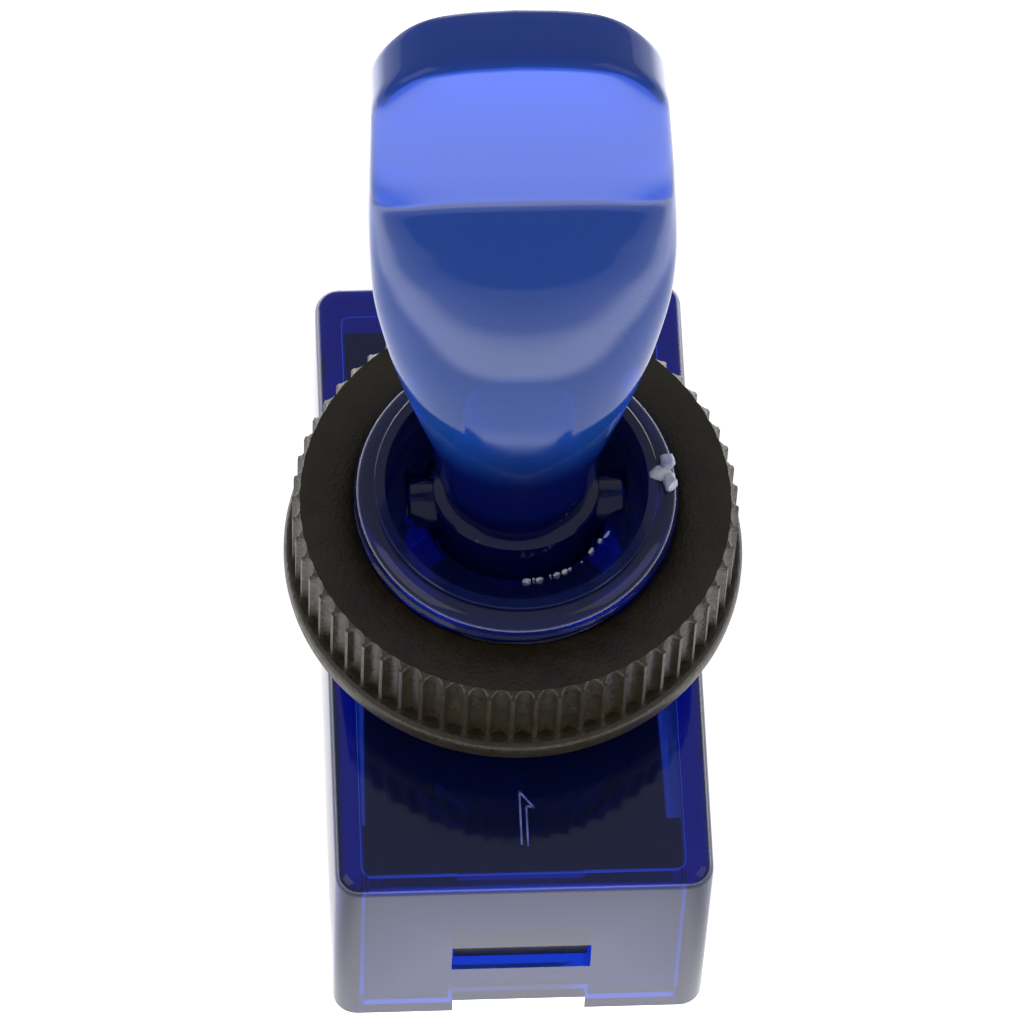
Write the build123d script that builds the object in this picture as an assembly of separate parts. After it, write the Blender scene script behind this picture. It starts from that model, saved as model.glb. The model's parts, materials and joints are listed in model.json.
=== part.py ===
"""Illuminated automotive toggle switch with a paddle lever and a 12 mm threaded bushing.

Millimetres. The origin is where the bushing's axis meets the housing's top face,
+Z runs up the bushing, X is across the housing and +Y is the way the lever leans.
"""

import os
from math import cos, radians, sin, sqrt

from build123d import *

# Housing: a box open at the bottom, moulded in one piece with the bushing
HOUSING_WIDTH = 14.0
HOUSING_LENGTH = 25.8
HOUSING_HEIGHT = 10.5
SIDE_WALL = 1.0
TOP_WALL = 1.2
CORNER_RADIUS = 0.9
TOP_EDGE_RADIUS = 0.6
LATCH_SLOT_WIDTH = 5.2
LATCH_SLOT_HEIGHT = 1.8
LATCH_SLOT_CENTRE_DEPTH = 6.0
PRY_NOTCH_WIDTH = 5.0
PRY_NOTCH_HEIGHT = 0.9
RIB_START = 6.5
RIB_HEIGHT = 2.6
RIB_WALL = 0.7
RIB_CLEARANCE = 0.15

# Bushing: a plain neck that fills the panel's hole, then the threaded stretch
NECK_RADIUS = 6.0
NECK_LENGTH = 1.5
THREAD_CORE_RADIUS = 5.6
BUSHING_HEIGHT = 7.4
RIM_CHAMFER = 0.35
MOUTH_RADIUS = 4.9
MOUTH_DEPTH = 1.0
THROAT_RADIUS = 3.5
THROAT_LENGTH = 2.0
SWING_BORE_RADIUS = 4.2

# Ring nut, run down to just above the neck
NUT_GAP_ABOVE_NECK = 0.15
NUT_HEIGHT = 4.45
NUT_FLANGE_RADIUS = 8.55
NUT_FLANGE_HEIGHT = 1.1
NUT_FLANGE_ROUNDING = 0.3
NUT_KNURL_RADIUS = 8.15
NUT_TOP_CHAMFER = 0.33
NUT_THREAD_CLEARANCE = 0.15
NUT_LEAD_IN = 0.3
KNURL_COUNT = 60
KNURL_GROOVE_RADIUS = 0.34
KNURL_GROOVE_DEPTH = 0.26

# Lever: paddle, collar with trunnions, and the hollow nose below the pivot
PIVOT_HEIGHT = 5.6
LEVER_LEAN = 13.0
LEVER_LENGTH = 24.8
COLLAR_RADIUS = 3.1
COLLAR_ABOVE = 1.2
COLLAR_BELOW = 1.0
NOSE_LENGTH = 5.5
NOSE_TIP_RADIUS = 2.4
TRUNNION_RADIUS = 1.1
TRUNNION_REACH = 4.0
TRUNNION_CLEARANCE = 0.06
TRUNNION_END_CLEARANCE = 0.1
SNAP_PINCH = 0.1
LAMP_BORE_RADIUS = 1.65
LAMP_BORE_TOP = 8.0
PADDLE_WIDTH = 10.85
PADDLE_STEM_WIDTH = 6.0
SHOULDER_FRONT = 3.5
SHOULDER_BACK = 3.1
BILL_FRONT = 1.8
BILL_BACK = 1.9
TIP_WIDTH = 8.0
TIP_FRONT = 1.25
TIP_BACK = 1.4
TIP_ROUNDING = 0.8

# Lamp in the lever
LENS_RADIUS = 1.5
LENS_LENGTH = 3.2
LENS_GAP = 0.4
RESISTOR_RADIUS = 0.85
RESISTOR_LENGTH = 2.0
LEAD_SIZE = 0.45
LEAD_GROOVE_CLEARANCE = 0.1
LEAD_GROOVE_X = 1.8
WIPE_PAD_LENGTH = 2.2
WIPE_PAD_TOP = -2.2
LEAD_WIRE_RADIUS = 0.25
LEAD_WIRE_LENGTH = 0.7

# Plunger and its spring
SPRING_CAP_THICKNESS = 0.5
SPRING_CAP_TOP = 1.4
SPRING_RADIUS = 1.2
SPRING_WIRE_RADIUS = 0.15
SPRING_TURNS = 6
PLUNGER_RADIUS = 1.5
PLUNGER_SHOULDER = -3.0
PLUNGER_GUIDE_LENGTH = 3.2
PLUNGER_NECK_RADIUS = 0.8
PLUNGER_BALL_RADIUS = 1.0
PLUNGER_REACH = 9.3
SLIDING_CLEARANCE = 0.15

# Rocker: the see-saw contact strip that the plunger rides on
ROCKER_SWING = 10.0
ROCKER_THICKNESS = 0.6
ROCKER_WIDTH = 3.6
ROCKER_TROUGH_RADIUS = 3.6
ROCKER_TROUGH_HALF = 2.0
ROCKER_HALF_LENGTH = 5.8
ROCKER_LUG_RADIUS = 0.45
ROCKER_LUG_REACH = 3.0
ROCKER_CONTACT_Y = 4.9
CONTACT_RADIUS = 0.9
CONTACT_THICKNESS = 0.5
CONTACT_DOME_RADIUS = 2.5
CONTACT_GAP = 0.06

# Base: the black block that closes the housing and carries the terminals
BASE_CLEARANCE = 0.1
BASE_TOP_GAP = 0.3
BASE_RECESS = 1.1
BASE_FLOOR = 2.5
BASE_FLANK_RECESS = 0.9
BASE_END_BLOCK = 2.1
BASE_BACK_GAP = 0.5
POCKET_WIDTH = 8.0
POCKET_LENGTH = 20.4
POCKET_CHAMFER = 1.6
LATCH_REACH = 0.5
LATCH_CLEARANCE = 0.1
STOP_WIDTH = 3.0
STOP_LENGTH = 1.0
STOP_Y = 4.9

# Terminals: 6.3 mm blades, 0.8 mm thick, in one row
BLADE_WIDTH = 6.3
BLADE_THICKNESS = 0.8
BLADE_LENGTH = 8.0
BLADE_PITCH = 8.0
BLADE_TIP_CHAMFER = 1.2
BLADE_HOLE_RADIUS = 0.8
BLADE_HOLE_FROM_TIP = 3.0
TANG_WIDTH = 5.0
TANG_CLEARANCE = 0.05
EAR_THICKNESS = 0.6
EAR_GAP = 0.4
EAR_LENGTH = 2.4
EAR_ABOVE_PIVOT = 0.6
EAR_NOTCH_CLEARANCE = 0.05
WIPER_X = 3.3
WIPER_THICKNESS = 0.3
WIPER_WIDTH = 1.6
WIPER_FOOT_HEIGHT = 1.2
WIPER_TOP_BELOW_PIVOT = 1.6

# Heights and places that follow from the sizes above
NUT_BOTTOM = NECK_LENGTH + NUT_GAP_ABOVE_NECK
NUT_BORE_RADIUS = THREAD_CORE_RADIUS + NUT_THREAD_CLEARANCE
THROAT_TOP = BUSHING_HEIGHT - MOUTH_DEPTH
THROAT_BOTTOM = THROAT_TOP - THROAT_LENGTH
BASE_BOTTOM = BASE_RECESS - HOUSING_HEIGHT
FLOOR_TOP = BASE_BOTTOM + BASE_FLOOR
BASE_TOP = -TOP_WALL - BASE_TOP_GAP
BASE_HALF_WIDTH = HOUSING_WIDTH / 2 - SIDE_WALL - BASE_CLEARANCE
BASE_HALF_LENGTH = HOUSING_LENGTH / 2 - SIDE_WALL - BASE_CLEARANCE
BALL_DISTANCE = PLUNGER_REACH - PLUNGER_BALL_RADIUS
TROUGH_BOTTOM = PIVOT_HEIGHT - PLUNGER_REACH - SLIDING_CLEARANCE
ROCKER_PIVOT_HEIGHT = TROUGH_BOTTOM - ROCKER_THICKNESS / 2
TROUGH_RISE = ROCKER_TROUGH_RADIUS - sqrt(ROCKER_TROUGH_RADIUS**2 - ROCKER_TROUGH_HALF**2)
ARM_TOP = ROCKER_THICKNESS / 2 + TROUGH_RISE
ARM_BOTTOM = ARM_TOP - ROCKER_THICKNESS
LENS_BOTTOM = LAMP_BORE_TOP - LENS_GAP - LENS_LENGTH
EAR_INSIDE = ROCKER_WIDTH / 2 + EAR_GAP
MOVING_DOME_CENTRE = ARM_BOTTOM - CONTACT_THICKNESS + CONTACT_DOME_RADIUS
CLOSED_CONTACT_HEIGHT = (
    ROCKER_PIVOT_HEIGHT
    + MOVING_DOME_CENTRE * cos(radians(ROCKER_SWING))
    - ROCKER_CONTACT_Y * sin(radians(ROCKER_SWING))
    - CONTACT_DOME_RADIUS
)
CLOSED_CONTACT_Y = -(
    ROCKER_CONTACT_Y * cos(radians(ROCKER_SWING))
    + MOVING_DOME_CENTRE * sin(radians(ROCKER_SWING))
)
FIXED_CONTACT_TOP = CLOSED_CONTACT_HEIGHT - CONTACT_GAP
STOP_TOP = (
    ROCKER_PIVOT_HEIGHT
    + ARM_BOTTOM * cos(radians(ROCKER_SWING))
    - ROCKER_HALF_LENGTH * sin(radians(ROCKER_SWING))
    - CONTACT_GAP
)

LEVER_FRAME = Pos(0, 0, PIVOT_HEIGHT) * Rot(-LEVER_LEAN, 0, 0)
ROCKER_FRAME = Pos(0, 0, ROCKER_PIVOT_HEIGHT) * Rot(ROCKER_SWING, 0, 0)


def span(x0, x1, y0, y1, z0, z1):
    """A box between two opposite corners."""
    block = Box(x1 - x0, y1 - y0, z1 - z0)
    return Pos((x0 + x1) / 2, (y0 + y1) / 2, (z0 + z1) / 2) * block


def upright(radius, z0, z1):
    """A cylinder on the Z axis between two heights."""
    return Pos(0, 0, (z0 + z1) / 2) * Cylinder(radius, z1 - z0)


def taper(radius0, radius1, z0, z1):
    """A cone on the Z axis from radius0 at z0 to radius1 at z1."""
    return Pos(0, 0, (z0 + z1) / 2) * Cone(radius0, radius1, z1 - z0)


def crosswise(radius, x0, x1):
    """A cylinder along X, through the origin's height."""
    return Pos((x0 + x1) / 2, 0, 0) * Rot(0, 90, 0) * Cylinder(radius, x1 - x0)


def housing_shell():
    """The box: rounded upright corners and top edge, open at the bottom."""
    outer = span(
        -HOUSING_WIDTH / 2, HOUSING_WIDTH / 2, -HOUSING_LENGTH / 2, HOUSING_LENGTH / 2, -HOUSING_HEIGHT, 0
    )
    outer = fillet(outer.edges().filter_by(Axis.Z), CORNER_RADIUS)
    outer = fillet(outer.faces().sort_by(Axis.Z)[-1].edges(), TOP_EDGE_RADIUS)
    half_width = HOUSING_WIDTH / 2 - SIDE_WALL
    half_length = HOUSING_LENGTH / 2 - SIDE_WALL
    return outer - span(-half_width, half_width, -half_length, half_length, -HOUSING_HEIGHT, -TOP_WALL)


def trunnion_slots():
    """Two pockets in the throat: a round seat with a slightly pinched way in from above."""
    seat_radius = TRUNNION_RADIUS + TRUNNION_CLEARANCE
    reach = TRUNNION_REACH + TRUNNION_END_CLEARANCE
    entry_half = TRUNNION_RADIUS - SNAP_PINCH
    seat = Pos(0, 0, PIVOT_HEIGHT) * crosswise(seat_radius, -reach, reach)
    return seat + span(-reach, reach, -entry_half, entry_half, PIVOT_HEIGHT, BUSHING_HEIGHT)


def bushing():
    """Plain neck and threaded stretch, with a chamfered rim."""
    rim_start = BUSHING_HEIGHT - RIM_CHAMFER
    neck = upright(NECK_RADIUS, -TOP_WALL / 2, NECK_LENGTH)
    thread_core = upright(THREAD_CORE_RADIUS, NECK_LENGTH, rim_start)
    rim = taper(THREAD_CORE_RADIUS, THREAD_CORE_RADIUS - RIM_CHAMFER, rim_start, BUSHING_HEIGHT)
    return neck + thread_core + rim


def bushing_bore():
    """The way through the bushing: funnel mouth, throat and the wide bore the nose swings in."""
    mouth = taper(THROAT_RADIUS, MOUTH_RADIUS, THROAT_TOP, BUSHING_HEIGHT)
    throat = upright(THROAT_RADIUS, THROAT_BOTTOM, THROAT_TOP)
    swing_bore = upright(SWING_BORE_RADIUS, -TOP_WALL, THROAT_BOTTOM)
    return mouth + throat + swing_bore + trunnion_slots()


def latch_slots():
    """One window through each end wall, for the base's latches."""
    low = -LATCH_SLOT_CENTRE_DEPTH - LATCH_SLOT_HEIGHT / 2
    return span(
        -LATCH_SLOT_WIDTH / 2, LATCH_SLOT_WIDTH / 2,
        -HOUSING_LENGTH / 2, HOUSING_LENGTH / 2,
        low, low + LATCH_SLOT_HEIGHT,
    )


def pry_notches():
    """A shallow notch in the lower edge of each end wall."""
    return span(
        -PRY_NOTCH_WIDTH / 2, PRY_NOTCH_WIDTH / 2,
        -HOUSING_LENGTH / 2, HOUSING_LENGTH / 2,
        -HOUSING_HEIGHT, -HOUSING_HEIGHT + PRY_NOTCH_HEIGHT,
    )


def rib_block(half_width, front, corner, top):
    """A block under the top wall with its two front corners cut off."""
    block = span(-half_width, half_width, -front, -RIB_START, -TOP_WALL - RIB_HEIGHT, top)
    return chamfer(block.edges().filter_by(Axis.Z).group_by(Axis.Y)[0], corner)


def locating_rib():
    """A rib under the top wall that fits the front of the base's pocket."""
    half_width = POCKET_WIDTH / 2 - RIB_CLEARANCE
    front = POCKET_LENGTH / 2 - RIB_CLEARANCE
    outside = rib_block(half_width, front, POCKET_CHAMFER, -TOP_WALL / 2)
    inside = rib_block(half_width - RIB_WALL, front - RIB_WALL, POCKET_CHAMFER - RIB_WALL / 2, -TOP_WALL)
    return outside - inside


def housing():
    """Box, bushing and locating rib as one moulding."""
    outside = housing_shell() + bushing() + locating_rib()
    return outside - bushing_bore() - latch_slots() - pry_notches()


def knurl_grooves():
    """Round-bottomed grooves down the nut's side, stopping on the flange."""
    axis_radius = NUT_KNURL_RADIUS + KNURL_GROOVE_RADIUS - KNURL_GROOVE_DEPTH
    low = NUT_BOTTOM + NUT_FLANGE_HEIGHT
    groove = upright(KNURL_GROOVE_RADIUS, low, NUT_BOTTOM + NUT_HEIGHT)
    return [Rot(0, 0, 360 * i / KNURL_COUNT) * Pos(axis_radius, 0, 0) * groove for i in range(KNURL_COUNT)]


def ring_nut():
    """Knurled plastic ring nut with a smooth flange at its foot."""
    flange = upright(NUT_FLANGE_RADIUS, NUT_BOTTOM, NUT_BOTTOM + NUT_FLANGE_HEIGHT)
    flange = fillet(flange.edges().filter_by(GeomType.CIRCLE), NUT_FLANGE_ROUNDING)
    grip = upright(NUT_KNURL_RADIUS, NUT_BOTTOM + NUT_FLANGE_HEIGHT / 2, NUT_BOTTOM + NUT_HEIGHT)
    grip = chamfer(grip.faces().sort_by(Axis.Z)[-1].edges(), NUT_TOP_CHAMFER)
    bore = upright(NUT_BORE_RADIUS, NUT_BOTTOM, NUT_BOTTOM + NUT_HEIGHT)
    wide = NUT_BORE_RADIUS + NUT_LEAD_IN
    lower_lead = taper(wide, NUT_BORE_RADIUS, NUT_BOTTOM, NUT_BOTTOM + NUT_LEAD_IN)
    top = NUT_BOTTOM + NUT_HEIGHT
    upper_lead = taper(NUT_BORE_RADIUS, wide, top - NUT_LEAD_IN, top)
    return (flange + grip) - knurl_grooves() - bore - lower_lead - upper_lead


def paddle_section(height, width, front, back):
    """One rounded section of the grip, reaching front and back from the lever's axis."""
    thickness = front + back
    corner = min(0.46 * thickness, 0.3 * thickness + 0.03 * LEVER_LENGTH)
    return Pos(0, (back - front) / 2, height) * RectangleRounded(width, thickness, corner)


def paddle():
    """The grip: a round stem, a rounded shoulder and a flat bill with domed corners."""
    stem = PADDLE_STEM_WIDTH / 2
    sections = [
        paddle_section(COLLAR_ABOVE, 2 * stem, stem, stem),
        paddle_section(0.165 * LEVER_LENGTH, 2.3 * stem, 1.02 * stem, stem),
        paddle_section(0.31 * LEVER_LENGTH, 0.82 * PADDLE_WIDTH, 0.97 * SHOULDER_FRONT, SHOULDER_BACK),
        paddle_section(0.42 * LEVER_LENGTH, 0.93 * PADDLE_WIDTH, SHOULDER_FRONT, 0.98 * SHOULDER_BACK),
        paddle_section(0.53 * LEVER_LENGTH, 0.99 * PADDLE_WIDTH, 0.87 * SHOULDER_FRONT, 0.87 * SHOULDER_BACK),
        paddle_section(0.62 * LEVER_LENGTH, PADDLE_WIDTH, 0.69 * SHOULDER_FRONT, 0.74 * SHOULDER_BACK),
        paddle_section(0.71 * LEVER_LENGTH, 0.99 * PADDLE_WIDTH, BILL_FRONT, BILL_BACK),
        paddle_section(0.86 * LEVER_LENGTH, 0.955 * PADDLE_WIDTH, (BILL_FRONT + TIP_FRONT) / 2, BILL_BACK),
        paddle_section(0.95 * LEVER_LENGTH, (TIP_WIDTH + 2 * PADDLE_WIDTH) / 3, 1.05 * TIP_FRONT, 1.1 * TIP_BACK),
        paddle_section(LEVER_LENGTH, TIP_WIDTH, TIP_FRONT, TIP_BACK),
    ]
    grip = loft(sections)
    tip = grip.faces().sort_by(Axis.Z)[-1]
    return fillet(tip.edges(), TIP_ROUNDING)


def lead_groove():
    """Room beside the lamp bore for the lead, and its way out to the nose's flank."""
    half = LEAD_SIZE / 2 + LEAD_GROOVE_CLEARANCE
    groove_top = LENS_BOTTOM + LEAD_SIZE
    groove = span(0, LEAD_GROOVE_X + half, -half, half, WIPE_PAD_TOP - half, groove_top)
    exit_hole = span(0, COLLAR_RADIUS, -half, half, WIPE_PAD_TOP - LEAD_SIZE - half, WIPE_PAD_TOP + half)
    return groove + exit_hole


def toggle_lever():
    """Paddle, collar, trunnions and hollow nose in one moulding, about its pivot."""
    collar = upright(COLLAR_RADIUS, -COLLAR_BELOW, COLLAR_ABOVE)
    nose = taper(NOSE_TIP_RADIUS, COLLAR_RADIUS - 2 * SLIDING_CLEARANCE, -NOSE_LENGTH, -COLLAR_BELOW)
    trunnions = crosswise(TRUNNION_RADIUS, -TRUNNION_REACH, TRUNNION_REACH)
    lamp_bore = upright(LAMP_BORE_RADIUS, -NOSE_LENGTH, LAMP_BORE_TOP)
    return paddle() + collar + nose + trunnions - lamp_bore - lead_groove()


def led_lens():
    """Round-headed lamp body at the top of the lamp bore."""
    dome_centre = LENS_BOTTOM + LENS_LENGTH - LENS_RADIUS
    return upright(LENS_RADIUS, LENS_BOTTOM, dome_centre) + Pos(0, 0, dome_centre) * Sphere(LENS_RADIUS)


def led_anode_lead():
    """Short wire from the lamp down to the resistor."""
    return upright(LEAD_WIRE_RADIUS, LENS_BOTTOM - LEAD_WIRE_LENGTH, LENS_BOTTOM)


def resistor():
    """Dropping resistor under the lamp, with rounded ends."""
    top = LENS_BOTTOM - LEAD_WIRE_LENGTH
    body = upright(RESISTOR_RADIUS, top - RESISTOR_LENGTH, top)
    return fillet(body.edges().filter_by(GeomType.CIRCLE), RESISTOR_RADIUS / 3)


def resistor_lead():
    """Short wire from the resistor down to the spring cap."""
    return upright(LEAD_WIRE_RADIUS, SPRING_CAP_TOP, LENS_BOTTOM - LEAD_WIRE_LENGTH - RESISTOR_LENGTH)


def led_cathode_lead():
    """Square lead from the lamp, down its groove and out to a wiping pad on the nose's flank."""
    half = LEAD_SIZE / 2
    pad_x0 = COLLAR_RADIUS - LEAD_SIZE
    start = span(LENS_RADIUS / 2, LEAD_GROOVE_X + half, -half, half, LENS_BOTTOM - LEAD_SIZE, LENS_BOTTOM)
    down = span(LEAD_GROOVE_X - half, LEAD_GROOVE_X + half, -half, half, WIPE_PAD_TOP - LEAD_SIZE, LENS_BOTTOM)
    out = span(LEAD_GROOVE_X - half, COLLAR_RADIUS, -half, half, WIPE_PAD_TOP - LEAD_SIZE, WIPE_PAD_TOP)
    pad = span(pad_x0, COLLAR_RADIUS, -half, half, WIPE_PAD_TOP - WIPE_PAD_LENGTH, WIPE_PAD_TOP)
    return start + down + out + pad


def spring_cap():
    """Brass seat that the spring pushes up against, with a pin inside the coil."""
    disc = upright(LAMP_BORE_RADIUS - SLIDING_CLEARANCE, SPRING_CAP_TOP - SPRING_CAP_THICKNESS, SPRING_CAP_TOP)
    pin_radius = SPRING_RADIUS - SPRING_WIRE_RADIUS - SLIDING_CLEARANCE
    pin_bottom = SPRING_CAP_TOP - 2 * SPRING_CAP_THICKNESS
    return disc + upright(pin_radius, pin_bottom, SPRING_CAP_TOP - SPRING_CAP_THICKNESS)


def plunger_spring():
    """Compression coil between the spring cap and the plunger's shoulder."""
    low = PLUNGER_SHOULDER + SPRING_WIRE_RADIUS
    high = SPRING_CAP_TOP - SPRING_CAP_THICKNESS - SPRING_WIRE_RADIUS
    path = Helix(pitch=(high - low) / SPRING_TURNS, height=high - low, radius=SPRING_RADIUS)
    wire = sweep(Plane(path @ 0, z_dir=path % 0) * Circle(SPRING_WIRE_RADIUS), path=path, is_frenet=True)
    return Pos(0, 0, low) * wire


def plunger():
    """Brass plunger: guided shank, neck and the ball that rides on the rocker."""
    guide_bottom = PLUNGER_SHOULDER - PLUNGER_GUIDE_LENGTH
    shank = upright(PLUNGER_RADIUS, guide_bottom, PLUNGER_SHOULDER)
    neck = upright(PLUNGER_NECK_RADIUS, -BALL_DISTANCE, guide_bottom)
    return shank + neck + Pos(0, 0, -BALL_DISTANCE) * Sphere(PLUNGER_BALL_RADIUS)


def rocker_profile():
    """Side view of the strip, X being the housing's Y: two level arms and a round trough."""
    low_radius = ROCKER_TROUGH_RADIUS + ROCKER_THICKNESS
    trough_centre = ROCKER_THICKNESS / 2 + ROCKER_TROUGH_RADIUS
    arms = Pos(0, ARM_TOP - ROCKER_THICKNESS / 2) * Rectangle(2 * ROCKER_HALF_LENGTH, ROCKER_THICKNESS)
    lowest = ROCKER_THICKNESS / 2
    half = sqrt(low_radius**2 - (trough_centre - ARM_BOTTOM) ** 2)
    bowl = Pos(0, trough_centre) * Circle(low_radius)
    bowl = bowl & (Pos(0, (ARM_TOP - lowest) / 2) * Rectangle(2 * half, ARM_TOP + lowest))
    return arms + bowl - Pos(0, trough_centre) * Circle(ROCKER_TROUGH_RADIUS)


def rocker():
    """Formed brass strip with a lug on each side, about its own pivot."""
    strip = extrude(Plane.YZ * rocker_profile(), ROCKER_WIDTH / 2, both=True)
    return strip + crosswise(ROCKER_LUG_RADIUS, -ROCKER_LUG_REACH, ROCKER_LUG_REACH)


def rocker_contact():
    """Domed silver button under the rocker's front arm."""
    disc = upright(CONTACT_RADIUS, ARM_BOTTOM - CONTACT_THICKNESS, ARM_BOTTOM)
    dome = Pos(0, 0, MOVING_DOME_CENTRE) * Sphere(CONTACT_DOME_RADIUS)
    return Pos(0, -ROCKER_CONTACT_Y, 0) * (disc & dome)


def base_block():
    """The block itself, waisted along its flanks, with the octagonal pocket for the mechanism."""
    block = span(
        -BASE_HALF_WIDTH, BASE_HALF_WIDTH, -BASE_HALF_LENGTH, BASE_HALF_LENGTH, BASE_BOTTOM, BASE_TOP
    )
    flank_end = BASE_HALF_LENGTH - BASE_END_BLOCK
    flank_x = BASE_HALF_WIDTH - BASE_FLANK_RECESS
    for side in (-1, 1):
        near, far = sorted((side * flank_x, side * BASE_HALF_WIDTH))
        block -= span(near, far, -flank_end, flank_end, FLOOR_TOP, BASE_TOP)
    back_face = BASE_HALF_LENGTH - BASE_BACK_GAP
    for side in (-1, 1):
        near, far = sorted((side * LATCH_SLOT_WIDTH / 2, side * BASE_HALF_WIDTH))
        block -= span(near, far, back_face, BASE_HALF_LENGTH, BASE_BOTTOM, BASE_TOP)
    pocket = span(
        -POCKET_WIDTH / 2, POCKET_WIDTH / 2, -POCKET_LENGTH / 2, POCKET_LENGTH / 2, FLOOR_TOP, BASE_TOP
    )
    return block - chamfer(pocket.edges().filter_by(Axis.Z), POCKET_CHAMFER)


def base_latches():
    """A wedge on each end that snaps into the housing's window and sits on its sill."""
    sill = -LATCH_SLOT_CENTRE_DEPTH - LATCH_SLOT_HEIGHT / 2 + LATCH_CLEARANCE
    head = sill + LATCH_SLOT_HEIGHT - 2 * LATCH_CLEARANCE
    nose_y = HOUSING_LENGTH / 2 - LATCH_REACH
    side = Polyline(
        (BASE_HALF_LENGTH - BASE_CLEARANCE, sill),
        (nose_y, sill),
        (nose_y, (sill + head) / 2),
        (BASE_HALF_LENGTH, head),
        (BASE_HALF_LENGTH - BASE_CLEARANCE, head),
        close=True,
    )
    wedge = extrude(Plane.YZ * make_face(side), LATCH_SLOT_WIDTH / 2 - LATCH_CLEARANCE, both=True)
    return wedge + Rot(0, 0, 180) * wedge


def tang_slots():
    """A slot through the floor for each terminal."""
    half_width = TANG_WIDTH / 2 + TANG_CLEARANCE
    half_thickness = BLADE_THICKNESS / 2 + TANG_CLEARANCE
    slot = span(-half_width, half_width, -half_thickness, half_thickness, BASE_BOTTOM, FLOOR_TOP)
    return [Pos(0, place * BLADE_PITCH, 0) * slot for place in (-1, 0, 1)]


def base():
    """Block with latches, terminal slots and the rocker's stop."""
    stop = span(
        -STOP_WIDTH / 2, STOP_WIDTH / 2, STOP_Y - STOP_LENGTH / 2, STOP_Y + STOP_LENGTH / 2, FLOOR_TOP, STOP_TOP
    )
    return base_block() + base_latches() + stop - tang_slots()


def blade(top):
    """Connector blade below the base and its tang up through the floor, in the plane Y = 0."""
    tip = BASE_BOTTOM - BLADE_LENGTH
    half = BLADE_THICKNESS / 2
    flat = span(-BLADE_WIDTH / 2, BLADE_WIDTH / 2, -half, half, tip, BASE_BOTTOM)
    corners = flat.edges().filter_by(Axis.Y).group_by(Axis.Z)[0]
    flat = chamfer(corners, BLADE_TIP_CHAMFER)
    hole = Pos(0, 0, tip + BLADE_HOLE_FROM_TIP) * Rot(90, 0, 0) * Cylinder(BLADE_HOLE_RADIUS, BLADE_THICKNESS)
    return flat - hole + span(-TANG_WIDTH / 2, TANG_WIDTH / 2, -half, half, BASE_BOTTOM, top)


def terminal_power():
    """Front terminal: its top is bent towards the middle and carries the fixed contact."""
    shelf_top = FIXED_CONTACT_TOP - CONTACT_THICKNESS
    half = BLADE_THICKNESS / 2
    shelf = span(
        -TANG_WIDTH / 2, TANG_WIDTH / 2,
        -BLADE_PITCH - half, CLOSED_CONTACT_Y + CONTACT_RADIUS + half,
        shelf_top - BLADE_THICKNESS, shelf_top,
    )
    return Pos(0, -BLADE_PITCH, 0) * blade(shelf_top) + shelf


def fixed_contact():
    """Flat silver button on the power terminal's shelf."""
    button = upright(CONTACT_RADIUS, FIXED_CONTACT_TOP - CONTACT_THICKNESS, FIXED_CONTACT_TOP)
    return Pos(0, CLOSED_CONTACT_Y, 0) * button


def cradle_ear():
    """One upright ear with the open notch that the rocker's lug lies in."""
    notch_radius = ROCKER_LUG_RADIUS + EAR_NOTCH_CLEARANCE
    top = ROCKER_PIVOT_HEIGHT + EAR_ABOVE_PIVOT
    outside = EAR_INSIDE + EAR_THICKNESS
    ear = span(EAR_INSIDE, outside, -EAR_LENGTH / 2, EAR_LENGTH / 2, FLOOR_TOP, top)
    seat = Pos(0, 0, ROCKER_PIVOT_HEIGHT) * crosswise(notch_radius, EAR_INSIDE, outside)
    entry = span(EAR_INSIDE, outside, -notch_radius, notch_radius, ROCKER_PIVOT_HEIGHT, top)
    return ear - seat - entry


def terminal_load():
    """Middle terminal: a foot on the floor with two ears folded up as the rocker's cradle."""
    outside = EAR_INSIDE + EAR_THICKNESS
    foot = span(
        -outside, outside, -EAR_LENGTH / 2, EAR_LENGTH / 2, FLOOR_TOP, FLOOR_TOP + BLADE_THICKNESS
    )
    ear = cradle_ear()
    return blade(FLOOR_TOP) + foot + ear + mirror(ear, Plane.YZ)


def terminal_ground():
    """Back terminal: its head reaches across to the wiper's foot."""
    half = BLADE_THICKNESS / 2
    head = span(
        -TANG_WIDTH / 2, WIPER_X, -half, half, FLOOR_TOP, FLOOR_TOP + WIPER_FOOT_HEIGHT
    )
    return Pos(0, BLADE_PITCH, 0) * (blade(FLOOR_TOP) + head)


def ground_wiper():
    """Flat stamping from the ground terminal up beside the lever's nose."""
    half = WIPER_WIDTH / 2
    far = BLADE_PITCH + BLADE_THICKNESS / 2
    x1 = WIPER_X + WIPER_THICKNESS
    foot = span(WIPER_X, x1, -half, far, FLOOR_TOP, FLOOR_TOP + WIPER_FOOT_HEIGHT)
    arm = span(WIPER_X, x1, -half, half, FLOOR_TOP, PIVOT_HEIGHT - WIPER_TOP_BELOW_PIVOT)
    return foot + arm


def write(name, shape):
    """One file for each piece."""
    export_step(shape, f"parts/{name}.step")


def main():
    os.makedirs("parts", exist_ok=True)
    for piece in (
        housing, ring_nut, base, terminal_power, terminal_load, terminal_ground, fixed_contact, ground_wiper
    ):
        write(piece.__name__, piece())
    for piece in (
        toggle_lever, led_lens, led_anode_lead, led_cathode_lead, resistor, resistor_lead, spring_cap,
        plunger_spring, plunger
    ):
        write(piece.__name__, LEVER_FRAME * piece())
    for piece in (rocker, rocker_contact):
        write(piece.__name__, ROCKER_FRAME * piece())


main()
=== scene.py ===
"""Looks of the illuminated toggle switch: clear blue plastic, black knurled nut, brass inside.

Lengths are written in millimetres and multiplied by MM where a mesh or object is made.
"""

import json
import math
import random

import bmesh
import bpy
from mathutils import Matrix, Vector


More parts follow.
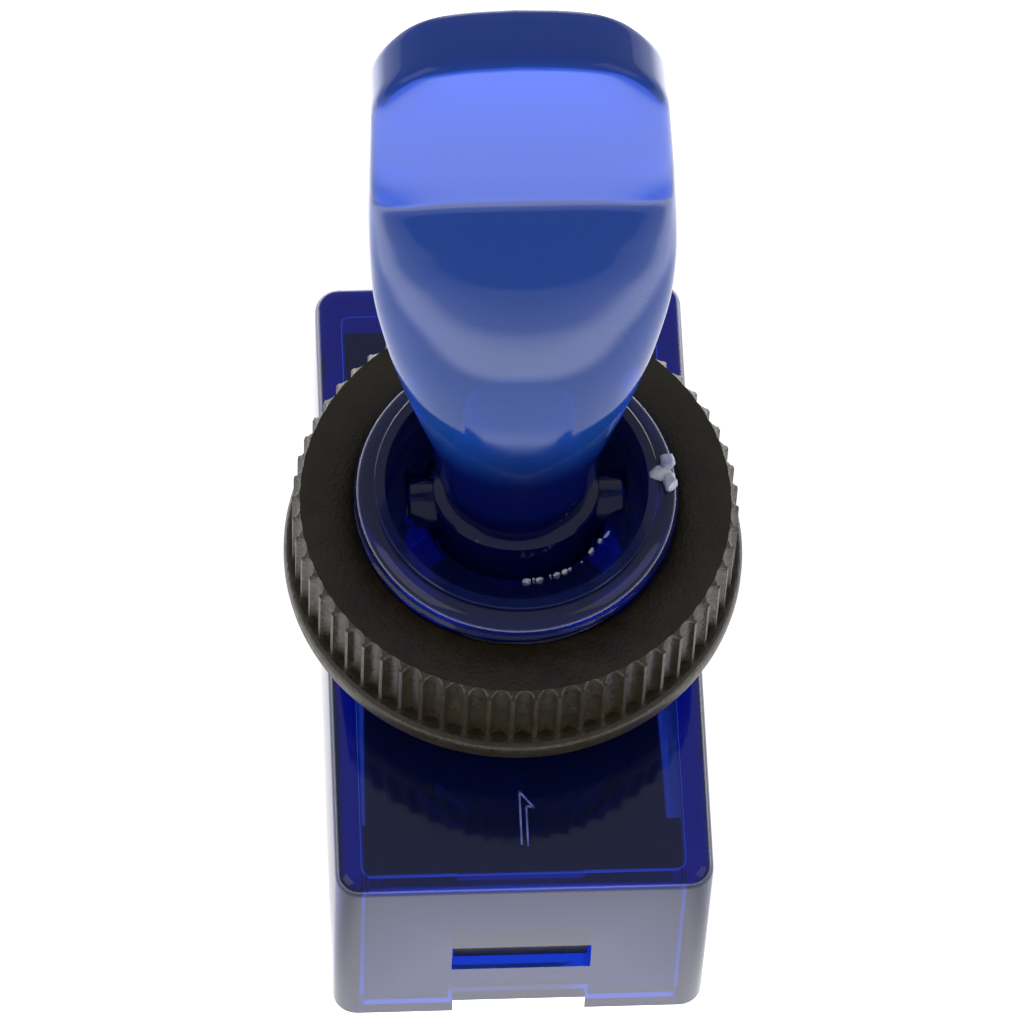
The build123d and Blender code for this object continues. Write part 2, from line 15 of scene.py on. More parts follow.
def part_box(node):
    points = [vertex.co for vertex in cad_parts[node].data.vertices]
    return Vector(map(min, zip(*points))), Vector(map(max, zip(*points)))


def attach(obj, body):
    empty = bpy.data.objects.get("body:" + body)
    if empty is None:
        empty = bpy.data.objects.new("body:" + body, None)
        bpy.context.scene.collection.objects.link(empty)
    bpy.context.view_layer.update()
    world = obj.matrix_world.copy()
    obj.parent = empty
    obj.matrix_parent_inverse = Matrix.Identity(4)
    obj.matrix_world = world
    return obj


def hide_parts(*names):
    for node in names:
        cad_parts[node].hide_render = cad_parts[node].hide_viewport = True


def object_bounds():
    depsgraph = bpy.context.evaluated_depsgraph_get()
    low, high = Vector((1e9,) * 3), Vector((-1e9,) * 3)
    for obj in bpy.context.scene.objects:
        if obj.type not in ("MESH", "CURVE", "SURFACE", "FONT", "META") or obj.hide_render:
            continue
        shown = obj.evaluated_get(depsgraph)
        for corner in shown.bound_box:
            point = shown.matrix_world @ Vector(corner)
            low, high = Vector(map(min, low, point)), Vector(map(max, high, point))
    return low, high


MM = 0.001

# Mesh work: how far a lathe's end points stand off its axis, how far a cutter runs past what it
# cuts, and the size below which edges are merged away
ON_AXIS = 0.001
CUTTER_PAST = 1.0
SLIVER = 0.002

# Camera, in millimetres and degrees: where it stands round the bushing's foot, and its framing
CAMERA_DISTANCE = 320.0
CAMERA_AZIMUTH = -5.2
CAMERA_ELEVATION = 61.3
CAMERA_ROLL = 3.2
CAMERA_LENS = 301.1
CAMERA_SENSOR = 36.0
CAMERA_AIM_RIGHT = 0.05
CAMERA_AIM_UP = -2.54
CAMERA_CLIP = (0.01, 10.0)

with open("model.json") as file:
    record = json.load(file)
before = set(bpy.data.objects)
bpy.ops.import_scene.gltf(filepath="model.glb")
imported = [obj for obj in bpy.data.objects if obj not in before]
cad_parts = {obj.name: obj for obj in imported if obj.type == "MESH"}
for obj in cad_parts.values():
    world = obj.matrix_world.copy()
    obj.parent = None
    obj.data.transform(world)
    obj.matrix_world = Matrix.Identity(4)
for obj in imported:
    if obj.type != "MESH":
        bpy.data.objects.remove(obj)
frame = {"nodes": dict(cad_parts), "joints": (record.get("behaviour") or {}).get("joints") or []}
CAD_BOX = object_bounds()
NODES = frame["nodes"]
JOINTS = {joint["name"]: joint for joint in frame["joints"]}


def corners_mm(node):
    """Lowest and highest corner of a CAD node, in millimetres."""
    low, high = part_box(node)
    return low / MM, high / MM


HOUSING_LOW, HOUSING_HIGH = corners_mm("housing")
NUT_LOW, NUT_HIGH = corners_mm("ring_nut")
HOUSING_HALF_WIDTH = HOUSING_HIGH.x
HOUSING_HALF_LENGTH = HOUSING_HIGH.y
HOUSING_BOTTOM = HOUSING_LOW.z
BUSHING_TOP = HOUSING_HIGH.z
BASE_BOTTOM = corners_mm("base")[0].z
PIVOT = Vector(JOINTS["lever_tilt"]["pos_m"]) / MM
LEAN = math.radians(JOINTS["lever_tilt"]["range_deg"][1] / 2)
LEVER_FRAME = Matrix.Translation(PIVOT) @ Matrix.Rotation(-LEAN, 4, "X")


# ---------------------------------------------------------------- mesh helpers


def clamped(value):
    """A value kept between 0 and 1."""
    return min(max(value, 0.0), 1.0)


def linked_object(name, mesh):
    """An object with a mesh, linked into the scene."""
    obj = bpy.data.objects.new(name, mesh)
    bpy.context.scene.collection.objects.link(obj)
    return obj


def mesh_object(name, points, faces, place=None):
    """A mesh object from points in millimetres, with outward faces."""
    mesh = bpy.data.meshes.new(name)
    mesh.from_pydata([tuple(Vector(point) * MM) for point in points], [], faces)
    if place:
        mesh.transform(scaled_place(place))
    tidy = bmesh.new()
    tidy.from_mesh(mesh)
    bmesh.ops.remove_doubles(tidy, verts=tidy.verts, dist=1e-4 * MM)
    bmesh.ops.recalc_face_normals(tidy, faces=tidy.faces)
    tidy.to_mesh(mesh)
    tidy.free()
    return linked_object(name, mesh)


def scaled_place(place):
    """A placement in millimetres as one in metres."""
    moved = place.copy()
    moved.translation = place.translation * MM
    return moved


def rings_to_mesh(name, rings, closed_ends=True, place=None):
    """Skins rings of equal length into a tube. A ring of one point is a tip."""
    points, faces, starts = [], [], []
    for ring in rings:
        starts.append(len(points))
        points += ring
    for (first, ring), (second, following) in zip(
        zip(starts, rings), list(zip(starts, rings))[1:]
    ):
        count = max(len(ring), len(following))
        for i in range(count):
            j = (i + 1) % count
            corner = [first + i % len(ring), first + j % len(ring)]
            corner += [second + j % len(following), second + i % len(following)]
            faces.append(list(dict.fromkeys(corner)))
    if closed_ends:
        for start, ring in ((starts[0], rings[0]), (starts[-1], rings[-1])):
            if len(ring) > 2:
                faces.append(list(range(start, start + len(ring))))
    return mesh_object(name, points, faces, place)


def lathe(name, profile, count, radius_at=None, place=None):
    """Revolves (radius, height) points about Z into a closed ring or solid."""
    rings = []
    for radius, height in profile:
        ring = []
        for i in range(count):
            angle = 2 * math.pi * i / count
            here = radius_at(angle, height, radius) if radius_at else radius
            ring.append((here * math.cos(angle), here * math.sin(angle), height))
        rings.append(ring)
    return rings_to_mesh(name, rings, closed_ends=profile[0] != profile[-1], place=place)


def box_mesh(name, low, high, place=None):
    """A plain block, used as a cutter or before its edges are rounded."""
    x0, y0, z0 = low
    x1, y1, z1 = high
    points = [(x, y, z) for z in (z0, z1) for x, y in ((x0, y0), (x1, y0), (x1, y1), (x0, y1))]
    faces = [(0, 1, 2, 3), (4, 5, 6, 7), (0, 1, 5, 4), (1, 2, 6, 5), (2, 3, 7, 6), (3, 0, 4, 7)]
    return mesh_object(name, points, faces, place)


def bevel_edges(obj, chosen, width, segments):
    """Rounds the edges that chosen(edge) picks."""
    work = bmesh.new()
    work.from_mesh(obj.data)
    edges = [edge for edge in work.edges if chosen(edge)]
    bmesh.ops.bevel(
        work, geom=edges, offset=width * MM, segments=segments, profile=0.5, affect="EDGES"
    )
    work.to_mesh(obj.data)
    work.free()
    return obj


def is_upright(edge):
    """True for an edge along Z."""
    first, second = edge.verts
    return abs(first.co.z - second.co.z) > 0.9 * edge.calc_length()


def level_edges_at(height):
    """A test for the sharp edges that lie level at a height in millimetres."""

    def chosen(edge):
        level = all(abs(vertex.co.z / MM - height) < 1e-3 for vertex in edge.verts)
        return level and edge.calc_face_angle(0) > 1

    return chosen


def combine(obj, others, operation):
    """Joins others to obj or cuts them from it, and deletes them, leaving no slivers."""
    for other in others:
        modifier = obj.modifiers.new(other.name, "BOOLEAN")
        modifier.operation = operation
        modifier.solver = "EXACT"
        modifier.object = other
    graph = bpy.context.evaluated_depsgraph_get()
    result = bpy.data.meshes.new_from_object(obj.evaluated_get(graph))
    obj.modifiers.clear()
    obj.data = result
    for other in others:
        bpy.data.objects.remove(other)
    return without_slivers(obj)


def without_slivers(obj):
    """Merges points that stand closer than a sliver's width, and drops the faces between them."""
    work = bmesh.new()
    work.from_mesh(obj.data)
    bmesh.ops.triangulate(work, faces=work.faces)
    bmesh.ops.remove_doubles(work, verts=work.verts, dist=SLIVER * MM)
    bmesh.ops.dissolve_degenerate(work, edges=work.edges, dist=SLIVER * MM)
    work.to_mesh(obj.data)
    work.free()
    return obj


def smooth(obj, angle=30.0):
    """Smooth shading, with edges sharper than the angle kept crisp."""
    mesh = obj.data
    mesh.shade_smooth()
    work = bmesh.new()
    work.from_mesh(mesh)
    for edge in work.edges:
        edge.smooth = edge.calc_face_angle(0.0) < math.radians(angle)
    work.to_mesh(mesh)
    work.free()
    return obj


def dress(obj, material, body, slot, *stands_for):
    """Gives a piece its finish, the body it rides on and the CAD nodes it stands for."""
    obj.data.materials.clear()
    obj.data.materials.append(material)
    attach(obj, body)
    if stands_for:
        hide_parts(*stands_for)
    return obj


# ------------------------------------------------------------------- materials

# What is left of white light by the blue plastic, and how much its polish and surface waver
CLEAR_TINT = (0.5, 0.68, 0.9, 1)
POLISH_RANGE = (0.7, 1.4)
MOULD_RIPPLE = 0.004


def principled(name, **sockets):
    """A material with one Principled shader, its constants set on its sockets."""
    material = bpy.data.materials.new(name)
    material.use_nodes = True
    shader = material.node_tree.nodes["Principled BSDF"]
    for socket, value in sockets.items():
        shader.inputs[socket.replace("_", " ")].default_value = value
    return material, material.node_tree, shader


def noise(tree, scale, detail, stretch=(1, 1, 1)):
    """Noise in object coordinates, scale in waves to the millimetre."""
    where = tree.nodes.new("ShaderNodeTexCoord")
    mapping = tree.nodes.new("ShaderNodeMapping")
    texture = tree.nodes.new("ShaderNodeTexNoise")
    mapping.inputs["Scale"].default_value = [scale / MM * part for part in stretch]
    texture.inputs["Scale"].default_value = 1.0
    texture.inputs["Detail"].default_value = detail
    tree.links.new(where.outputs["Object"], mapping.inputs["Vector"])
    tree.links.new(mapping.outputs["Vector"], texture.inputs["Vector"])
    return texture.outputs["Fac"]


def remap(tree, value, low, high, out_low, out_high):
    """Maps a value from one range to another, clamped."""
    node = tree.nodes.new("ShaderNodeMapRange")
    node.inputs["From Min"].default_value = low
    node.inputs["From Max"].default_value = high
    node.inputs["To Min"].default_value = out_low
    node.inputs["To Max"].default_value = out_high
    tree.links.new(value, node.inputs["Value"])
    return node.outputs["Result"]


def two_tone(tree, value, first, second, low=0.35, high=0.65):
    """A colour between two, chosen by a value."""
    ramp = tree.nodes.new("ShaderNodeValToRGB")
    ramp.color_ramp.elements[0].position = low
    ramp.color_ramp.elements[0].color = (*first, 1)
    ramp.color_ramp.elements[1].position = high
    ramp.color_ramp.elements[1].color = (*second, 1)
    tree.links.new(value, ramp.inputs["Fac"])
    return ramp.outputs["Color"]


def bump(tree, shader, height, depth):
    """Bump of a depth in millimetres."""
    node = tree.nodes.new("ShaderNodeBump")
    node.inputs["Strength"].default_value = 1.0
    node.inputs["Distance"].default_value = depth * MM
    tree.links.new(height, node.inputs["Height"])
    tree.links.new(node.outputs["Normal"], shader.inputs["Normal"])


def height_share(tree, low, high):
    """0 below one height and 1 above another, in millimetres."""
    where = tree.nodes.new("ShaderNodeTexCoord")
    parts = tree.nodes.new("ShaderNodeSeparateXYZ")
    tree.links.new(where.outputs["Object"], parts.inputs["Vector"])
    return remap(tree, parts.outputs["Z"], low * MM, high * MM, 0.0, 1.0)


def clear_blue(name, deep, pale, heights, milkiness, roughness):
    """Blue plastic, clear but for its milkiness, changing from deep to pale between two heights. On
    the lever and the lamp's bore, the deep colour low down is painted shade.
    """
    material, tree, shader = principled(name, Transmission_Weight=1 - milkiness, IOR=1.5)
    tree.links.new(
        two_tone(tree, height_share(tree, *heights), deep, pale, 0.0, 1.0),
        shader.inputs["Base Color"],
    )
    tint = tree.nodes.new("ShaderNodeVolumeAbsorption")
    tint.inputs["Color"].default_value = CLEAR_TINT
    tint.inputs["Density"].default_value = 1 / MM
    tree.links.new(tint.outputs["Volume"], tree.nodes["Material Output"].inputs["Volume"])
    polished, dulled = [roughness * share for share in POLISH_RANGE]
    tree.links.new(
        remap(tree, noise(tree, 0.6, 2.0), 0.3, 0.8, polished, dulled), shader.inputs["Roughness"]
    )
    bump(tree, shader, noise(tree, 0.4, 1.0, (1, 1, 0.5)), MOULD_RIPPLE)
    return material


def dark_lens(name):
    """The lamp's moulded lens: smoky blue and diffusing."""
    material, tree, shader = principled(name, Transmission_Weight=0.35, Roughness=0.35, IOR=1.5)
    tree.links.new(
        two_tone(tree, noise(tree, 1.5, 3.0), (0.005, 0.01, 0.08), (0.01, 0.02, 0.14)),
        shader.inputs["Base Color"],
    )
    return material


def enamel(name):
    """Glossy tan lacquer, a little uneven."""
    material, tree, shader = principled(name, Roughness=0.35)
    tree.links.new(
        two_tone(tree, noise(tree, 2.0, 4.0), (0.5, 0.37, 0.2), (0.62, 0.48, 0.3)),
        shader.inputs["Base Color"],
    )
    return material


def pale_plastic(name, first, second, clearness):
    """Pale blue plastic: stress-whitened where it was torn or chipped, and on the raised arrow a
    painted highlight where its edges catch the light.
    """
    material, tree, shader = principled(
        name, Transmission_Weight=clearness, Roughness=0.45, IOR=1.5
    )
    tree.links.new(
        two_tone(tree, noise(tree, 2.5, 4.0), first, second), shader.inputs["Base Color"]
    )
    bump(tree, shader, noise(tree, 5.0, 4.0), 0.05)
    return material


def black_plastic(name, colour, highlight, grain, roughness):
    """Matte black moulded plastic with a fine grain and a worn brown-grey cast."""
    material, tree, shader = principled(name, IOR=1.48, Specular_IOR_Level=0.5)
    tree.links.new(
        two_tone(tree, noise(tree, 0.9, 6.0), colour, highlight, 0.35, 0.75),
        shader.inputs["Base Color"],
    )
    tree.links.new(
        remap(tree, noise(tree, 3.0, 4.0), 0.3, 0.7, roughness - 0.1, roughness + 0.1),
        shader.inputs["Roughness"],
    )
    bump(tree, shader, noise(tree, 7.0, 4.0), grain)
    return material


def metal(name, colour, tarnish, roughness, brushing=(1, 1, 1)):
    """Stamped or drawn metal with fine lines along it and a little tarnish."""
    material, tree, shader = principled(name, Metallic=1.0)
    tree.links.new(
        two_tone(tree, noise(tree, 0.6, 5.0), colour, tarnish), shader.inputs["Base Color"]
    )
    lines = noise(tree, 6.0, 3.0, brushing)
    tree.links.new(
        remap(tree, lines, 0.3, 0.7, roughness * 0.8, roughness * 1.3), shader.inputs["Roughness"]
    )
    bump(tree, shader, lines, 0.006)
    return material


# --------------------------------------------------------------- housing piece

# Sizes that the housing's box can't tell. First the bushing: plain neck, thread and rounded rim
NECK_RADIUS = 6.0
NECK_LENGTH = 1.5
NECK_STEP = 0.05
THREAD_CREST_RADIUS = 5.98
THREAD_ROOT_RADIUS = 5.55
THREAD_PITCH = 1.0
THREAD_RELIEF = 0.3
THREAD_FADE = 0.3
THREAD_STEPS = 96
RIM_RADIUS = 5.25
RIM_CHAMFER = 0.75
RIM_CHAMFER_STEPS = 8
RIM_LEDGE = 0.08
RIM_LIP_HEIGHT = 0.14
RIM_EDGE_BREAK = 0.04

# Bore: mouth, throat, and the wider room below it for the lever's swing
MOUTH_RADIUS = 4.75
MOUTH_DEPTH = 1.0
MOUTH_EDGE_WIDTH = 0.12
MOUTH_EDGE_DEPTH = 0.08
MOUTH_EDGE_PAST = 0.01
THROAT_RADIUS = 3.5
THROAT_LENGTH = 2.0
THROAT_EDGE_WIDTH = 0.06
THROAT_EDGE_DEPTH = 0.1
SWING_BORE_RADIUS = 4.2

# Seats for the trunnions, and half the width of the way down to them
SEAT_RADIUS = 1.16
SEAT_REACH = 4.1
ENTRY_HALF = 1.0

# Box and cavity, with its latch windows and pry notches
SIDE_WALL = 1.0
TOP_WALL = 1.2
CORNER_RADIUS = 0.9
TOP_EDGE_RADIUS = 0.6
CAVITY_CORNER_RADIUS = 0.3
CAVITY_TOP_RADIUS = 0.12
WINDOW_HALF_WIDTH = 2.6
WINDOW_LOW = -6.9
WINDOW_HIGH = -5.1
NOTCH_HALF_WIDTH = 2.5
NOTCH_HEIGHT = 0.9

# Locating rib under the top wall, and how far a face's normal has to slant to be its corner
RIB_HALF_WIDTH = 3.85
RIB_FRONT = 10.05
RIB_START = 6.5
RIB_BOTTOM = -3.8
RIB_WALL = 0.7
RIB_CORNER = 1.6
RIB_CUTTER_PAST = 0.5
RIB_SLANT = 0.4

# Rim of the black base
BASE_CLEARANCE = 0.1
BASE_RIM_WALL = 1.0
BASE_RIM_ABOVE_BOTTOM = 0.2
BASE_RIM_NOTCH_GAP = 0.15
BASE_RIM_OVERLAP = 0.5

# Raised arrow, coloured pale blue as a painted highlight along its edges
ARROW_LINE = 0.07
ARROW_RISE = 0.04
ARROW_SUNK = 0.02
ARROW_OUTLINE = [(0.15, -11.2), (0.15, -9.6), (0.42, -9.65), (-0.08, -9.0), (-0.08, -11.15)]

THREAD_START = NECK_LENGTH + THREAD_RELIEF
THREAD_END = BUSHING_TOP - RIM_CHAMFER
THROAT_TOP = BUSHING_TOP - MOUTH_DEPTH


def thread_radius(angle, height, radius):
    """The bushing's outline with a single-start thread between neck and rim."""
    if not THREAD_START < height < THREAD_END:
        return radius
    phase = (height / THREAD_PITCH - angle / (2 * math.pi)) % 1.0
    # The crest is flat for 2/9 of the pitch and the root for 1/3, with straight flanks between
    rise = clamped(1.5 - 4.5 * abs(phase - 0.5))
    fade = min(1.0, (height - THREAD_START) / THREAD_FADE, (THREAD_END - height) / THREAD_FADE)
    crest = THREAD_ROOT_RADIUS + (THREAD_CREST_RADIUS - THREAD_ROOT_RADIUS) * rise
    return radius + (min(crest, radius) - radius) * fade


def bushing_mesh():
    """Outside of the bushing as one closed lathe, its foot sunk in the housing's top."""
    foot = -TOP_WALL / 2
    profile = [(ON_AXIS, foot), (NECK_RADIUS, foot), (NECK_RADIUS, NECK_LENGTH)]
    for i in range(THREAD_STEPS + 1):
        climb = (THREAD_END - NECK_LENGTH - NECK_STEP) * i / THREAD_STEPS
        profile.append((THREAD_CREST_RADIUS, NECK_LENGTH + NECK_STEP + climb))
    for i in range(1, RIM_CHAMFER_STEPS + 1):
        turn = math.radians(90 * i / RIM_CHAMFER_STEPS)
        overhang = (THREAD_CREST_RADIUS - RIM_RADIUS - RIM_LEDGE) * math.cos(turn)
        rise = (RIM_CHAMFER - RIM_LIP_HEIGHT) * math.sin(turn)
        profile.append((RIM_RADIUS + RIM_LEDGE + overhang, THREAD_END + rise))
    profile += [
        (RIM_RADIUS, BUSHING_TOP - RIM_LIP_HEIGHT), (RIM_RADIUS, BUSHING_TOP - RIM_EDGE_BREAK),
        (RIM_RADIUS - RIM_EDGE_BREAK, BUSHING_TOP), (ON_AXIS, BUSHING_TOP),
    ]
    return lathe("bushing_outside", profile, 144, thread_radius)


def bore_mesh():
    """The way through the bushing, as a cutter."""
    below, above = -TOP_WALL - CUTTER_PAST, BUSHING_TOP + CUTTER_PAST
    throat_low = THROAT_TOP - THROAT_LENGTH
    mouth_edge = MOUTH_RADIUS + MOUTH_EDGE_WIDTH
    profile = [
        (ON_AXIS, below), (SWING_BORE_RADIUS, below), (SWING_BORE_RADIUS, throat_low),
        (THROAT_RADIUS, throat_low), (THROAT_RADIUS, THROAT_TOP - THROAT_EDGE_DEPTH),
        (THROAT_RADIUS + THROAT_EDGE_WIDTH, THROAT_TOP),
        (MOUTH_RADIUS, BUSHING_TOP - MOUTH_EDGE_DEPTH), (mouth_edge, BUSHING_TOP + MOUTH_EDGE_PAST),
        (mouth_edge, above), (ON_AXIS, above),
    ]
    return lathe("bore_cutter", profile, 96)


def seat_cutters():
    """The trunnions' round seats and the slightly pinched way down to them."""
    across = Matrix.Translation(PIVOT) @ Matrix.Rotation(math.radians(90), 4, "Y")
    profile = [
        (ON_AXIS, -SEAT_REACH), (SEAT_RADIUS, -SEAT_REACH), (SEAT_RADIUS, SEAT_REACH),
        (ON_AXIS, SEAT_REACH),
    ]
    seat = lathe("seat_cutter", profile, 40, place=across)
    entry = box_mesh(
        "entry_cutter",
        (-SEAT_REACH, -ENTRY_HALF, PIVOT.z),
        (SEAT_REACH, ENTRY_HALF, BUSHING_TOP + CUTTER_PAST),
    )
    return [seat, entry]


def prism(name, outline, low, high):
    """An upright prism over a flat outline."""
    points = [(x, y, z) for z in (low, high) for x, y in outline]
    count = len(outline)
    sides = [(i, (i + 1) % count, (i + 1) % count + count, i + count) for i in range(count)]
    return mesh_object(name, points, sides + [tuple(range(count)), tuple(range(count, 2 * count))])


def rib_outline(inset, past=0.0):
    """The front half of an octagon, its back edge moved past the rib's end by some millimetres."""
    back = past - RIB_START
    half, front = RIB_HALF_WIDTH - inset, RIB_FRONT - inset
    corner = RIB_CORNER - inset / 2
    return [
        (-half, back), (-half, corner - front), (corner - half, -front),
        (half - corner, -front), (half, corner - front), (half, back),
    ]


def locating_rib():
    """The rib under the top wall that fits the base's pocket."""
    rib = prism("rib", rib_outline(0), RIB_BOTTOM, -TOP_WALL / 2)
    room = rib_outline(RIB_WALL, RIB_CUTTER_PAST)
    inside = prism("rib_inside", room, RIB_BOTTOM - CUTTER_PAST, -TOP_WALL)
    return combine(rib, [inside], "DIFFERENCE")


def arrow_mark():
    """The raised outline of a half-headed arrow, in front of the bushing."""
    lines = []
    for (x0, y0), (x1, y1) in zip(ARROW_OUTLINE, ARROW_OUTLINE[1:]):
        length = math.hypot(x1 - x0, y1 - y0)
        turn = Matrix.Rotation(math.atan2(y1 - y0, x1 - x0), 4, "Z")
        place = Matrix.Translation((x0, y0, 0)) @ turn
        half = ARROW_LINE / 2
        low, high = (-half, -half, -ARROW_SUNK), (length + half, half, ARROW_RISE)
        lines.append(box_mesh("arrow_line", low, high, place))
    return join("arrow_mark", lines)


def base_rim():
    """The low rim under the black base, broken where the pry notches are."""
    low, high = HOUSING_BOTTOM + BASE_RIM_ABOVE_BOTTOM, BASE_BOTTOM
    half_width = HOUSING_HALF_WIDTH - SIDE_WALL - BASE_CLEARANCE
    half_length = HOUSING_HALF_LENGTH - SIDE_WALL - BASE_CLEARANCE
    beside_notch = NOTCH_HALF_WIDTH + BASE_RIM_NOTCH_GAP
    strips = []
    for side in (-1, 1):
        x0, x1 = sorted((side * half_width, side * (half_width - BASE_RIM_WALL)))
        strips.append(box_mesh("base_rim", (x0, -half_length, low), (x1, half_length, high)))
        for end in (-1, 1):
            x0, x1 = sorted((side * beside_notch, side * (half_width - BASE_RIM_OVERLAP)))
            y0, y1 = sorted((end * half_length, end * (half_length - BASE_RIM_WALL)))
            strips.append(box_mesh("base_rim", (x0, y0, low), (x1, y1, high)))
    rim, *others = strips
    return combine(rim, others, "UNION")


def wall_cutters():
    """Cavity, latch windows and pry notches."""
    inside_x, inside_y = HOUSING_HALF_WIDTH - SIDE_WALL, HOUSING_HALF_LENGTH - SIDE_WALL
    below, past_end = HOUSING_BOTTOM - CUTTER_PAST, HOUSING_HALF_LENGTH + CUTTER_PAST
    cavity = box_mesh(
        "cavity_cutter", (-inside_x, -inside_y, below), (inside_x, inside_y, -TOP_WALL)
    )
    cavity = bevel_edges(cavity, is_upright, CAVITY_CORNER_RADIUS, 3)
    cavity = bevel_edges(cavity, level_edges_at(-TOP_WALL), CAVITY_TOP_RADIUS, 3)
    window = box_mesh(
        "window_cutter",
        (-WINDOW_HALF_WIDTH, -past_end, WINDOW_LOW),
        (WINDOW_HALF_WIDTH, past_end, WINDOW_HIGH),
    )
    notch = box_mesh(
        "notch_cutter",
        (-NOTCH_HALF_WIDTH, -past_end, below),
        (NOTCH_HALF_WIDTH, past_end, HOUSING_BOTTOM + NOTCH_HEIGHT),
    )
    return [cavity, window, notch]


def housing_piece():
    """Box, bushing, bore, seats and windows as one clear moulding."""
    shell = box_mesh(
        "housing_moulding",
        (-HOUSING_HALF_WIDTH, -HOUSING_HALF_LENGTH, HOUSING_BOTTOM),
        (HOUSING_HALF_WIDTH, HOUSING_HALF_LENGTH, 0),
    )
    shell = bevel_edges(shell, is_upright, CORNER_RADIUS, 6)
    shell = bevel_edges(shell, level_edges_at(0), TOP_EDGE_RADIUS, 5)
    shell = combine(shell, wall_cutters(), "DIFFERENCE")
    shell = combine(shell, [bushing_mesh(), locating_rib()], "UNION")
    return combine(shell, [bore_mesh()] + seat_cutters(), "DIFFERENCE")


def rib_corners_painted_reflection(housing, material):
    """Gives the slanted corners of the locating rib a pale, matt, milky blue: a painted reflection
    that makes them lighter than the clear housing around them.
    """
    housing.data.materials.append(material)
    for face in housing.data.polygons:
        slanted = min(abs(face.normal.x), abs(face.normal.y)) > RIB_SLANT
        ahead = face.center.y / MM < RIB_CORNER - RIB_FRONT
        under = RIB_BOTTOM < face.center.z / MM < -TOP_WALL
        inside = abs(face.center.x) / MM < RIB_HALF_WIDTH
        if slanted and ahead and under and inside:
            face.material_index = 1


# ----------------------------------------------------------------- lever piece

# Distance from the pivot, half width, reach to front and back, and squareness of the section
LEVER_STATIONS = [
    (2.3, 2.95, 2.95, 2.95, 2.0),
    (4.1, 3.2, 3.02, 2.98, 2.15),
    (6.4, 3.9, 3.25, 3.02, 2.6),
    (8.4, 4.5, 3.45, 3.0, 3.1),
    (10.4, 4.98, 3.5, 2.75, 3.6),
    (12.5, 5.36, 3.24, 2.25, 4.0),
    (14.4, 5.48, 2.8, 1.8, 4.3),
    (16.0, 5.48, 2.28, 1.52, 4.5),
    (17.0, 5.45, 1.92, 1.45, 4.8),
    (17.5, 5.43, 1.74, 1.43, 5.0),
    (17.75, 5.42, 1.675, 1.42, 5.4),
    (18.0, 5.41, 1.65, 1.42, 6.0),
    (18.8, 5.39, 1.61, 1.41, 6.6),
    (21.3, 5.29, 1.49, 1.42, 7.0),
    (24.75, 5.18, 1.33, 1.46, 7.0),
]

# Rings along the lever, then the shape that is laid over the stations: an arched shoulder, a bill
# bent to the left, and a tip with rounded corners, a crown and an edge rounding
LEVER_FOOT = LEVER_STATIONS[0][0]
LEVER_LENGTH, TIP_HALF_WIDTH = LEVER_STATIONS[-1][:2]
LEVER_RING_POINTS = 144
STEM_RINGS = 120
TIP_RINGS = 40
TIP_RINGS_REACH = 3
FOOT_INSET = 0.2
SHOULDER_ARCH = 0.2
SHOULDER_SPAN = (4.0, 18.0)
BILL_BEND = 0.36
BILL_BEND_FROM = 14.0
BILL_BEND_POWER = 1.3
TIP_CORNER_ACROSS = 2.7
TIP_CORNER_ALONG = 2.6
TIP_CROWN = 0.9
TIP_CROWN_REACH = 7.0
TIP_ROUNDING = 0.5
TIP_CAP_SHARES = (0.6, 0.3)

# Lamp's bore, and the lowest and highest corners of the grooves for its leads
LAMP_BORE_RADIUS = 1.65
LAMP_BORE_TOP = 8.0
BORE_MARGIN = 0.1
LEAD_GROOVE = ((0.1, -0.33, -2.2), (2.13, 0.33, 4.85))
LEAD_EXIT = ((0, -0.35, -2.98), (3.6, 0.35, -1.9))

# Radius and height along the lever of the nose with its collar, of the trunnions and of the bore.
# Collar and trunnions are turned a little, so that their facets don't lie flat on other ones.
COLLAR_PROFILE = [
    (ON_AXIS, -5.5), (2.3, -5.5), (2.4, -5.4), (2.8, -1.2), (3.1, -1.0), (3.1, 1.05), (3.04, 1.15),
    (2.7, 1.3), (2.7, 2.5), (ON_AXIS, 2.5),
]
COLLAR_TURN = 1.7
TRUNNION_PROFILE = [
    (ON_AXIS, -4.0), (1.0, -4.0), (1.1, -3.9), (1.1, 3.9), (1.0, 4.0), (ON_AXIS, 4.0),
]
TRUNNION_TURN = 2.9
LAMP_BORE_PROFILE = [
    (ON_AXIS, -6), (LAMP_BORE_RADIUS, -6), (LAMP_BORE_RADIUS, LAMP_BORE_TOP - 0.5),
    (LAMP_BORE_RADIUS - 0.25, LAMP_BORE_TOP - 0.15), (LAMP_BORE_RADIUS - 0.75, LAMP_BORE_TOP),
    (ON_AXIS, LAMP_BORE_TOP),
]


def between_stations(distance):
    """Half width, front, back and squareness there, on smooth curves through the stations."""
    stations = LEVER_STATIONS
    distance = min(max(distance, stations[0][0]), stations[-1][0])
    for k in range(len(stations) - 1):
        if distance <= stations[k + 1][0]:
            break
    before = stations[max(k - 1, 0)]
    start, end = stations[k], stations[k + 1]
    after = stations[min(k + 2, len(stations) - 1)]
    t = (distance - start[0]) / (end[0] - start[0])
    values = []
    for p0, p1, p2, p3 in list(zip(before, start, end, after))[1:]:
        slope1 = (p2 - p0) / (end[0] - before[0]) * (end[0] - start[0])
        slope2 = (p3 - p1) / (after[0] - start[0]) * (end[0] - start[0])
        t2, t3 = t * t, t * t * t
        values.append(
            (2 * t3 - 3 * t2 + 1) * p1 + (t3 - 2 * t2 + t) * slope1
            + (3 * t2 - 2 * t3) * p2 + (t3 - t2) * slope2
        )
    return values


def squared(value, squareness):
    """A sine or cosine pushed outwards, which turns a round section into a boxy one."""
    return math.copysign(abs(value) ** (2 / squareness), value)


